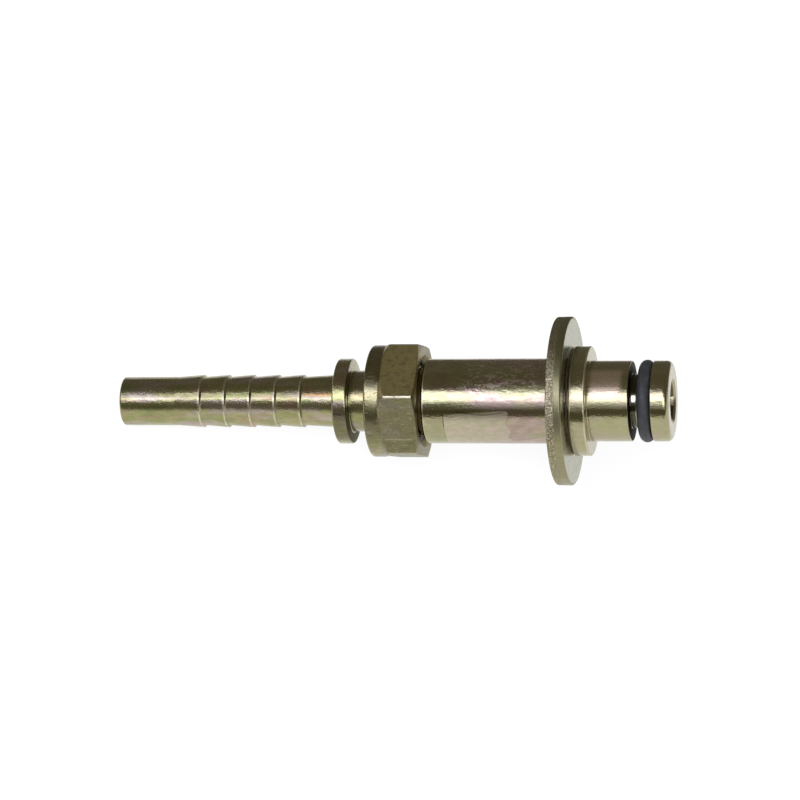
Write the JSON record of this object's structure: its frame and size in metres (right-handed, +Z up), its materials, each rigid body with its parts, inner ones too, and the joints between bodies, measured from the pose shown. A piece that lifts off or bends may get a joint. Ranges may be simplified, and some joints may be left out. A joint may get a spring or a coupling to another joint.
{
  "type": "crimp hose fitting",
  "caption": "Barbed crimp hose fitting with a hexagon union nut, a plain tube, a loose thrust washer and a sealed spigot.",
  "frame": {"origin": "on the floor under the middle of the fitting as it lies", "axes": "+Z up; +X along the floor from the hose tail to the spigot; the fitting's own axis rises by 7.6 degrees towards +X"},
  "size_m": [0.0976, 0.0292, 0.0291],
  "materials": {
    "insert_plating": "yellow-plated turned steel",
    "nut_plating": "dull olive plating, scratched",
    "tube_plating": "yellow-plated turned steel, iridescent",
    "washer_plating": "pale plating with a gritty sheared rim",
    "seal_rubber": "matte black"
  },
  "bodies": {
    "tube": {"spigot_tube": "tube_plating", "spigot_seal": "seal_rubber"},
    "insert": {"hose_insert": "insert_plating", "cone_seal": "seal_rubber"},
    "nut": {"union_nut": "nut_plating"},
    "washer": {"thrust_washer": "washer_plating"}
  },
  "joints": [
    {"name": "insert_slide", "type": "slide", "parent": "tube", "child": "insert", "axis": [-0.9912, 0, -0.1322], "range_m": [0, 0.00525]},
    {"name": "nut_turn", "type": "hinge", "parent": "insert", "child": "nut", "pos_m": [0.0006, 0, 0.01069], "axis": [-0.9912, 0, -0.1322], "range_deg": [0, 1260.01]},
    {"name": "washer_slide", "type": "slide", "parent": "tube", "child": "washer", "axis": [0.9912, 0, 0.1322], "range_m": [-0.023, 0.0004]}
  ],
  "couplings": [
    {"joint": "nut_turn", "follows": "insert_slide", "rad_per_m": 4188.8}
  ]
}
